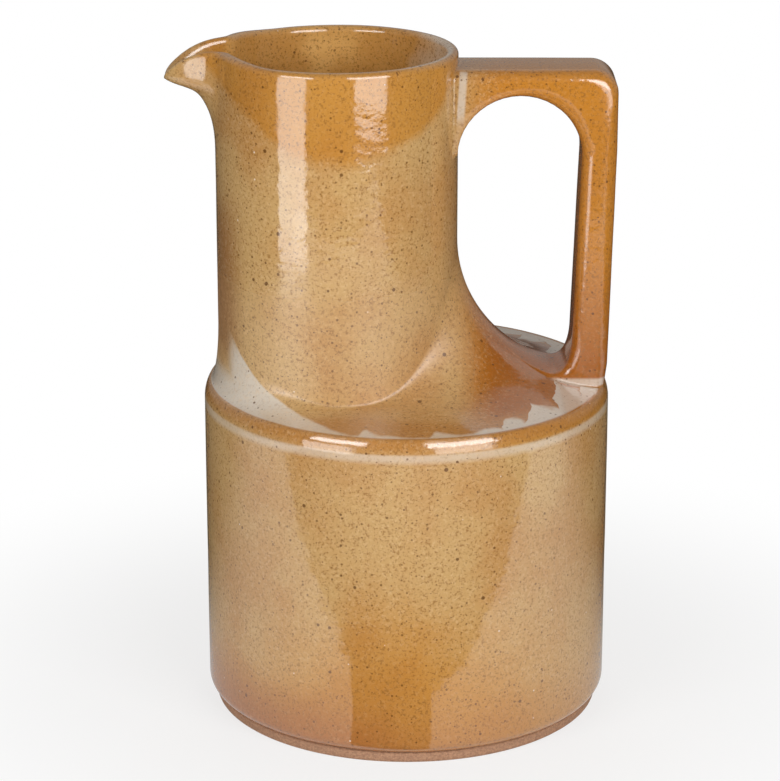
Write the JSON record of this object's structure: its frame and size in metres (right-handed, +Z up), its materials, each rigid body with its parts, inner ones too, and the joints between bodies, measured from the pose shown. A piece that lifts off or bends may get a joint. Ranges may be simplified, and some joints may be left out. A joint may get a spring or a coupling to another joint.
{
  "type": "stoneware pitcher",
  "caption": "Cylindrical jug body with an off-centre tubular neck, a flared shoulder, a small pouring spout and a flat square-cornered strap handle.",
  "frame": {"origin": "centre of the foot ring, on the plane it stands on", "axes": "+Z up along the body's axis, +X towards the handle, so that the spout points to -X, and +Y to the far side"},
  "size_m": [0.1436, 0.132, 0.2194],
  "materials": {
    "glazed_stoneware": "glossy"
  },
  "bodies": {
    "root": {"pitcher": "glazed_stoneware"}
  },
  "joints": []
}
